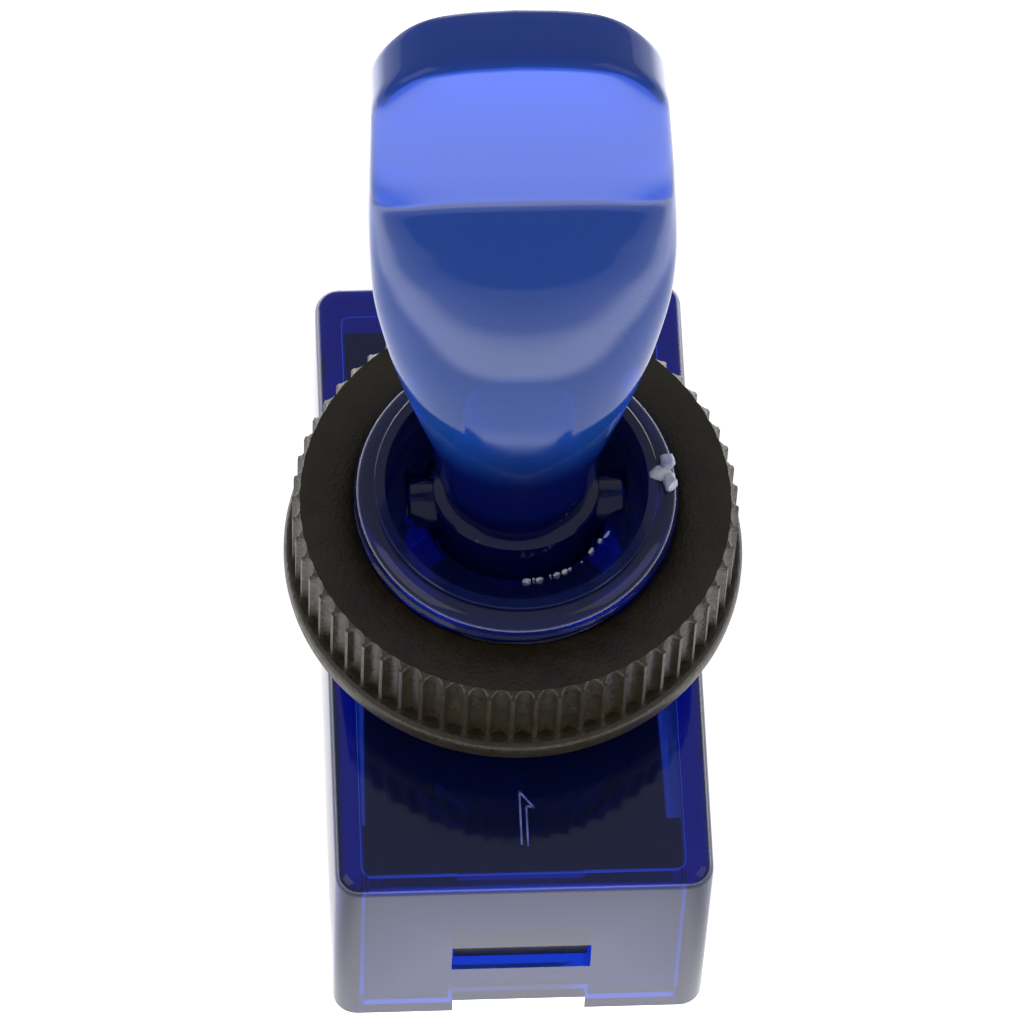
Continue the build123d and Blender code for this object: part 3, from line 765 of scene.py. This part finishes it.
def lever_ring(half_width, front, back, squareness, height, arch=0.0, droop=0.0):
    """One section of the lever: arched across, its sides hanging lower by the droop."""
    ring = []
    for i in range(LEVER_RING_POINTS):
        angle = 2 * math.pi * i / LEVER_RING_POINTS
        reach = back if math.sin(angle) > 0 else front
        across = squared(math.cos(angle), squareness)
        x = half_width * across
        y = reach * squared(math.sin(angle), squareness) * (1 - arch * across**2)
        ring.append((x, y, height - droop * (x / TIP_HALF_WIDTH) ** 2))
    return ring


def rounded_off(height, span):
    """How far a quarter round, scaled to one unit, has turned in at a height near the tip."""
    share = clamped((height - LEVER_LENGTH + span) / span)
    return 1 - math.sqrt(1 - share * share)


def shoulder_arch(height):
    """How much the faces of the shoulder are arched across, at a height."""
    low, high = SHOULDER_SPAN
    return SHOULDER_ARCH * math.sin(math.pi * clamped((height - low) / (high - low))) ** 2


def ring_heights():
    """Even steps up the stem, then steps that close up towards the tip."""
    climb = LEVER_LENGTH - TIP_RINGS_REACH - LEVER_FOOT
    heights = [LEVER_FOOT + climb * i / STEM_RINGS for i in range(1, STEM_RINGS + 1)]
    for i in range(1, TIP_RINGS + 1):
        heights.append(LEVER_LENGTH - TIP_RINGS_REACH * math.cos(math.pi / 2 * i / TIP_RINGS))
    return heights


def paddle_rings():
    """Sections from the paddle's foot to the domed and crowned tip, the bill set a little aside."""
    width, front, back, squareness = between_stations(LEVER_FOOT)
    foot = [width - FOOT_INSET, front - FOOT_INSET, back - FOOT_INSET]
    rings = [[(0, 0, LEVER_FOOT)], lever_ring(*foot, squareness, LEVER_FOOT)]
    for height in ring_heights():
        width, front, back, squareness = between_stations(height)
        width -= TIP_CORNER_ACROSS * rounded_off(height, TIP_CORNER_ALONG)
        turned_in = TIP_ROUNDING * rounded_off(height, TIP_ROUNDING)
        above_crown = max(0.0, (height - LEVER_LENGTH + TIP_CROWN_REACH) / TIP_CROWN_REACH)
        reach = (width, front - turned_in, back - turned_in)
        droop = TIP_CROWN * above_crown**2
        rings.append(lever_ring(*reach, squareness, height, shoulder_arch(height), droop))
    for share in TIP_CAP_SHARES:
        inner = [part * share for part in reach]
        rings.append(lever_ring(*inner, squareness, LEVER_LENGTH, 0.0, TIP_CROWN))
    rings.append([(0, 0, LEVER_LENGTH)])
    return [[set_aside(point) for point in ring] for ring in rings]


def set_aside(point):
    """Bends the paddle's upper part gently to the left."""
    x, y, z = point
    share = max(0.0, (z - BILL_BEND_FROM) / (LEVER_LENGTH - BILL_BEND_FROM))
    return (x - BILL_BEND * share**BILL_BEND_POWER, y, z)


def lever_piece():
    """Nose, collar, trunnions and paddle of the lever in one moulding, hollowed for the lamp."""
    turned = LEVER_FRAME @ Matrix.Rotation(math.radians(COLLAR_TURN), 4, "Z")
    across = LEVER_FRAME @ Matrix.Rotation(math.radians(90), 4, "Y")
    across = across @ Matrix.Rotation(math.radians(TRUNNION_TURN), 4, "Z")
    paddle = rings_to_mesh("lever_moulding", paddle_rings(), place=LEVER_FRAME)
    collar = lathe("lever_collar", COLLAR_PROFILE, 64, place=turned)
    trunnions = lathe("lever_trunnions", TRUNNION_PROFILE, 40, place=across)
    lamp_bore = lathe("lamp_bore_cutter", LAMP_BORE_PROFILE, 48, place=LEVER_FRAME)
    groove = box_mesh("lead_groove_cutter", *LEAD_GROOVE, place=LEVER_FRAME)
    lead_exit = box_mesh("lead_exit_cutter", *LEAD_EXIT, place=LEVER_FRAME)
    inside = combine(lamp_bore, [groove, lead_exit], "UNION")
    lever = combine(paddle, [collar, trunnions], "UNION")
    return combine(lever, [inside], "DIFFERENCE")


def matt_bore_painted_shade(lever, material):
    """Gives the walls of the lamp's bore the rougher finish that the core pin leaves, in a dark,
    nearly opaque blue that is painted shade in the lever's lower part.
    """
    lever.data.materials.append(material)
    back = scaled_place(LEVER_FRAME).inverted()
    for face in lever.data.polygons:
        centre = back @ face.center / MM
        near_axis = math.hypot(centre.x, centre.y) < LAMP_BORE_RADIUS + BORE_MARGIN
        if near_axis and centre.z < LAMP_BORE_TOP + BORE_MARGIN:
            face.material_index = 1


# ------------------------------------------------------------------- nut piece

KNURL_COUNT = 60
KNURL_RADIUS = 8.25
KNURL_GROOVE_RADIUS = 0.36
KNURL_GROOVE_DEPTH = 0.3
KNURL_POINTS = 12
KNURL_STEPS = 12
KNURL_INSIDE = 7

# Flange and bore, the grip's chamfered top, and the small ledge where the grip meets the flange
NUT_FLANGE_HEIGHT = 1.1
NUT_FLANGE_ROUNDING = 0.35
NUT_FLANGE_STEPS = 6
NUT_BORE_RADIUS = 5.95
NUT_LEAD_IN = 0.3
NUT_TOP_CHAMFER = 0.28
NUT_TOP_FACE_STEP = 0.12
NUT_TOP_EDGE = 0.2
NUT_TOP_EDGE_DEPTH = 0.15
GRIP_LEDGE = 0.1
GRIP_LEDGE_HEIGHT = 0.005
GRIP_START = 0.05
GROOVE_START = 0.02


def knurl_radius(angle, height, radius):
    """The nut's outline with its grooves cut in above the flange."""
    if height <= NUT_LOW.z + NUT_FLANGE_HEIGHT + GROOVE_START or radius < KNURL_INSIDE:
        return radius
    pitch = 2 * math.pi / KNURL_COUNT
    offset = (angle + pitch / 2) % pitch - pitch / 2
    centre = KNURL_RADIUS + KNURL_GROOVE_RADIUS - KNURL_GROOVE_DEPTH
    across = centre * math.sin(offset)
    if abs(across) >= KNURL_GROOVE_RADIUS:
        return radius
    wall = centre * math.cos(offset) - math.sqrt(KNURL_GROOVE_RADIUS**2 - across**2)
    return min(radius, wall)


def flange_profile(shelf):
    """The flange's rim, from its lower rounding to its upper one."""
    points = []
    inner = NUT_HIGH.x - NUT_FLANGE_ROUNDING
    for centre, first in (
        (NUT_LOW.z + NUT_FLANGE_ROUNDING, -90), (shelf - NUT_FLANGE_ROUNDING, 0)
    ):
        for i in range(NUT_FLANGE_STEPS + 1):
            turn = math.radians(first + 90 * i / NUT_FLANGE_STEPS)
            out, up = NUT_FLANGE_ROUNDING * math.cos(turn), NUT_FLANGE_ROUNDING * math.sin(turn)
            points.append((inner + out, centre + up))
    return points


def grip_profile(shelf):
    """The grip's wall above the flange and the chamfer at its top, in steps for the grooves."""
    start, chamfer_start = shelf + GRIP_START, NUT_HIGH.z - NUT_TOP_CHAMFER
    points = [(KNURL_RADIUS + GRIP_LEDGE, shelf + GRIP_LEDGE_HEIGHT), (KNURL_RADIUS, start)]
    for i in range(1, KNURL_STEPS + 1):
        climb = (chamfer_start - shelf - GRIP_START) * i / KNURL_STEPS
        points.append((KNURL_RADIUS, start + climb))
    for i in range(1, KNURL_STEPS + 1):
        cut = NUT_TOP_CHAMFER * i / KNURL_STEPS
        points.append((KNURL_RADIUS - cut, chamfer_start + cut))
    return points


def nut_piece():
    """Knurled ring nut: rounded flange, grooved grip with a chamfered top, and a bore."""
    low, high = NUT_LOW.z, NUT_HIGH.z
    shelf = low + NUT_FLANGE_HEIGHT
    profile = [(NUT_BORE_RADIUS, low + NUT_LEAD_IN), (NUT_BORE_RADIUS + NUT_LEAD_IN, low)]
    profile += flange_profile(shelf) + grip_profile(shelf)
    profile += [
        (KNURL_RADIUS - NUT_TOP_CHAMFER - NUT_TOP_FACE_STEP, high),
        (NUT_BORE_RADIUS + NUT_TOP_EDGE, high), (NUT_BORE_RADIUS, high - NUT_TOP_EDGE_DEPTH),
        profile[0],
    ]
    return lathe("ring_nut_moulding", profile, KNURL_COUNT * KNURL_POINTS, knurl_radius)


# ------------------------------------------------------------------------ wear

GATE_ANGLE = 3.5
GATE_RADIUS = 5.62
LUMP_ROUGHNESS = (0.72, 1.12)

# The gate's crumbs: angle and radius beyond the gate's own, depth below the top, widths and seed
GATE_CRUMBS = [
    (-1.0, -0.3, 0.02, (0.42, 0.34, 0.22), 3),
    (4.0, 0.0, 0.05, (0.3, 0.42, 0.32), 4),
    (-4.5, 0.02, 0.05, (0.28, 0.4, 0.28), 5),
]

CHIP_SEED = 11
CHIP_COUNT = 26
CHIP_ARC = (-92.0, -28.0)
CHIP_PAST_THROAT = 0.05
CHIP_ABOVE_EDGE = 0.02
CHIP_SPREAD = (0.0, 0.35)
CHIP_CROWDING = 1.5
CHIP_SLOPE = 0.6
CHIP_SIZE = (0.03, 0.09)
CHIP_STRETCH = (0.8, 2.4)
CHIP_FLATNESS = 0.6
FIRST_CHIP_SEED = 20


def lump(name, place, size, seed):
    """A small irregular crumb: a subdivided ball pushed about at random."""
    chance = random.Random(seed)
    work = bmesh.new()
    bmesh.ops.create_icosphere(work, subdivisions=2, radius=1.0)
    for vertex in work.verts:
        vertex.co *= chance.uniform(*LUMP_ROUGHNESS)
        vertex.co = Vector([part * width * MM for part, width in zip(vertex.co, size)])
    mesh = bpy.data.meshes.new(name)
    work.to_mesh(mesh)
    work.free()
    mesh.transform(scaled_place(place))
    return linked_object(name, mesh)


def at_angle(angle, radius, height):
    """A place on a circle about Z, turned to face outwards."""
    turn = Matrix.Rotation(math.radians(angle), 4, "Z")
    return turn @ Matrix.Translation((radius, 0, height))


def join(name, pieces):
    """Several small meshes as one object."""
    work = bmesh.new()
    for piece in pieces:
        work.from_mesh(piece.data)
        bpy.data.objects.remove(piece)
    mesh = bpy.data.meshes.new(name)
    work.to_mesh(mesh)
    work.free()
    return linked_object(name, mesh)


def gate_vestige():
    """The torn stub of the moulding gate on the bushing's rim."""
    crumbs = []
    for turn, out, depth, widths, seed in GATE_CRUMBS:
        place = at_angle(GATE_ANGLE + turn, GATE_RADIUS + out, BUSHING_TOP - depth)
        crumbs.append(lump("gate", place, widths, seed))
    return join("gate_vestige", crumbs)


def bore_chips():
    """Small white chips along the front of the throat's upper edge."""
    chance = random.Random(CHIP_SEED)
    chips = []
    for i in range(CHIP_COUNT):
        angle = chance.uniform(*CHIP_ARC)
        spread = chance.uniform(*CHIP_SPREAD) ** CHIP_CROWDING
        size = chance.uniform(*CHIP_SIZE)
        out = THROAT_RADIUS + CHIP_PAST_THROAT + spread
        place = at_angle(angle, out, THROAT_TOP + CHIP_ABOVE_EDGE + CHIP_SLOPE * spread)
        widths = (size, size * chance.uniform(*CHIP_STRETCH), size * CHIP_FLATNESS)
        chips.append(lump("chip", place, widths, FIRST_CHIP_SEED + i))
    return join("bore_chips", chips)


# ------------------------------------------------------------ camera and light


def make_camera():
    """Stands round the origin and looks down at it, rolled as the picture is."""
    azimuth = math.radians(CAMERA_AZIMUTH)
    elevation = math.radians(CAMERA_ELEVATION)
    roll = math.radians(CAMERA_ROLL)
    back = Vector(
        (
            math.sin(azimuth) * math.cos(elevation),
            -math.cos(azimuth) * math.cos(elevation),
            math.sin(elevation),
        )
    )
    level = Vector((math.cos(azimuth), math.sin(azimuth), 0))
    raised = back.cross(level)
    right = level * math.cos(roll) + raised * math.sin(roll)
    up = raised * math.cos(roll) - level * math.sin(roll)
    data = bpy.data.cameras.new("camera")
    data.lens = CAMERA_LENS
    data.sensor_width = CAMERA_SENSOR
    data.clip_start, data.clip_end = CAMERA_CLIP
    camera = bpy.data.objects.new("camera", data)
    place = back * CAMERA_DISTANCE - right * CAMERA_AIM_RIGHT - up * CAMERA_AIM_UP
    camera.matrix_world = Matrix.Translation(place * MM) @ Matrix(
        (right, up, back)
    ).transposed().to_4x4()
    bpy.context.scene.collection.objects.link(camera)
    bpy.context.scene.camera = camera


def soft_light(name, place, power):
    """A square area light that faces the origin."""
    data = bpy.data.lights.new(name, "AREA")
    data.size = SOFT_BOX_SIZE * MM
    data.energy = power
    light = bpy.data.objects.new(name, data)
    light.location = Vector(place) * MM
    light.rotation_euler = (-Vector(place)).to_track_quat("-Z", "Y").to_euler()
    bpy.context.scene.collection.objects.link(light)


CEILING_GLOW = (0.38, 0.38, 0.39, 1)
SOFT_BOX_SIZE = 450
LEFT_SOFT_BOX = (-420, -150, 380)
RIGHT_SOFT_BOX = (420, -150, 380)
LEFT_POWER = 0.5
RIGHT_POWER = 0.35

# The table's glow: its share at each distance from a point in front of the object. The lower shares
# near the object are a painted shadow of the object on the table.
TABLE_HALF = 1500
TABLE_THICKNESS = 5
TABLE_GLOW = 3.0
TABLE_CENTRE_Y = -18.0
TABLE_REACH = 400.0
TABLE_SHARES = [
    (0.0, 0.62), (9.0, 0.58), (15.0, 0.27), (46.0, 0.27), (60.0, 1.0), (95.0, 1.0), (160.0, 0.32),
    (400.0, 0.18),
]


def lit_table():
    """A pale glowing table, brightest in a ring round the object and dimmer beyond it; its dimmer
    glow near the object is a painted shadow.
    """
    floor_z = CAD_BOX[0].z / MM
    floor = box_mesh(
        "floor", (-TABLE_HALF, -TABLE_HALF, -TABLE_THICKNESS), (TABLE_HALF, TABLE_HALF, 0)
    )
    floor.location = Vector((0, TABLE_CENTRE_Y, floor_z)) * MM
    material, tree, shader = principled(
        "floor_white", Base_Color=(0.8, 0.8, 0.8, 1), Roughness=0.9, Emission_Strength=TABLE_GLOW
    )
    where = tree.nodes.new("ShaderNodeTexCoord")
    distance = tree.nodes.new("ShaderNodeVectorMath")
    distance.operation = "LENGTH"
    tree.links.new(where.outputs["Object"], distance.inputs[0])
    ramp = tree.nodes.new("ShaderNodeValToRGB")
    stops = ramp.color_ramp.elements
    for _ in TABLE_SHARES[2:]:
        stops.new(0.5)
    for stop, (reach, share) in zip(stops, TABLE_SHARES):
        stop.position = reach / TABLE_REACH
        stop.color = (share, share, share, 1)
    tree.links.new(
        remap(tree, distance.outputs["Value"], 0.0, TABLE_REACH * MM, 0.0, 1.0), ramp.inputs["Fac"]
    )
    tree.links.new(ramp.outputs["Color"], shader.inputs["Emission Color"])
    floor.data.materials.append(material)


def make_studio():
    """The lit table, a dim ceiling and a soft light on either side."""
    scene = bpy.context.scene
    scene.view_settings.view_transform = "Standard"
    world = bpy.data.worlds.new("studio")
    world.use_nodes = True
    world.node_tree.nodes["Background"].inputs["Color"].default_value = CEILING_GLOW
    scene.world = world
    lit_table()
    soft_light("left_soft_box", LEFT_SOFT_BOX, LEFT_POWER)
    soft_light("right_soft_box", RIGHT_SOFT_BOX, RIGHT_POWER)


# ------------------------------------------------------------------- the scene


def blue_finishes():
    """The clear mouldings, the rib's corners in pale blue as painted reflection, and the lamp's
    bore in dark blue as painted shade.
    """
    housing = clear_blue(
        "housing_blue", (0.02, 0.06, 0.45), (0.03, 0.08, 0.6), (-2.0, 5.0), 0.08, 0.08
    )
    # Deep base colour below 10.5 mm is painted shade on the lever's lower part, near the nut and
    # housing
    lever = clear_blue(
        "lever_blue", (0.004, 0.012, 0.18), (0.02, 0.17, 0.9), (10.5, 13.5), 0.28, 0.08
    )
    # The rib's slanted corners: pale milky blue, a painted reflection
    rib = clear_blue("rib_corner_painted_reflection", (0.2, 0.25, 0.7), (0.25, 0.3, 0.8), (-4.0, -1.0), 0.8, 0.4)
    # The lamp's bore walls: dark, nearly opaque blue, painted shade that darkens the lever's lower
    # part
    bore = clear_blue(
        "bore_painted_shade_blue", (0.003, 0.006, 0.06), (0.008, 0.03, 0.25), (10.5, 13.5), 0.85, 0.5
    )
    return housing, lever, rib, bore


def finish_inside(base_black):
    """Gives the CAD nodes that are shown as they are their finishes."""
    brass = metal("brass", (0.78, 0.56, 0.26), (0.6, 0.4, 0.17), 0.28, (1, 1, 0.1))
    silver = metal("silver", (0.85, 0.84, 0.8), (0.6, 0.58, 0.54), 0.25)
    steel = metal("steel", (0.6, 0.6, 0.62), (0.45, 0.45, 0.46), 0.25)
    tin = metal("tin", (0.75, 0.75, 0.76), (0.6, 0.6, 0.6), 0.3)
    finishes = {
        "base": base_black, "terminal_power": brass, "terminal_load": brass,
        "terminal_ground": brass, "ground_wiper": brass, "rocker": brass, "plunger": brass,
        "spring_cap": brass, "fixed_contact": silver, "rocker_contact": silver,
        "plunger_spring": steel, "led_anode_lead": tin, "led_cathode_lead": tin,
        "resistor_lead": tin, "led_lens": dark_lens("lens"), "resistor": enamel("enamel"),
    }
    for node, material in finishes.items():
        NODES[node].data.materials.clear()
        NODES[node].data.materials.append(material)


def main():
    """Builds the pieces, their finishes, the camera and the studio."""
    housing_blue, lever_blue, rib_corner_painted_reflection, bore_painted_shade_blue = blue_finishes()
    torn = pale_plastic("torn_plastic", (0.4, 0.47, 0.8), (0.85, 0.87, 0.9), 0.2)
    # Pale blue for the raised arrow: a painted highlight where its edges catch the light
    arrow_painted_highlight = pale_plastic("arrow_highlight_plastic", (0.08, 0.12, 0.5), (0.25, 0.32, 0.85), 0.0)
    nut_black = black_plastic(
        "nut_black", (0.018, 0.013, 0.004), (0.032, 0.024, 0.009), 0.03, 0.36
    )
    base_black = black_plastic(
        "base_black", (0.008, 0.008, 0.009), (0.015, 0.015, 0.016), 0.01, 0.4
    )

    make_camera()
    make_studio()
    housing = dress(smooth(housing_piece()), housing_blue, "body", "blue_housing", "housing")
    rib_corners_painted_reflection(housing, rib_corner_painted_reflection)
    lever = dress(smooth(lever_piece()), lever_blue, "lever", "blue_lever", "toggle_lever")
    matt_bore_painted_shade(lever, bore_painted_shade_blue)
    dress(smooth(nut_piece(), 40), nut_black, "nut", "black_nut", "ring_nut")
    dress(smooth(gate_vestige(), 60), torn, "body", "blue_housing")
    dress(smooth(bore_chips(), 60), torn, "body", "blue_housing")
    # The arrow's pale blue is a painted highlight
    dress(arrow_mark(), arrow_painted_highlight, "body", "blue_housing")
    dress(base_rim(), base_black, "body", "black_base")
    finish_inside(base_black)


main()
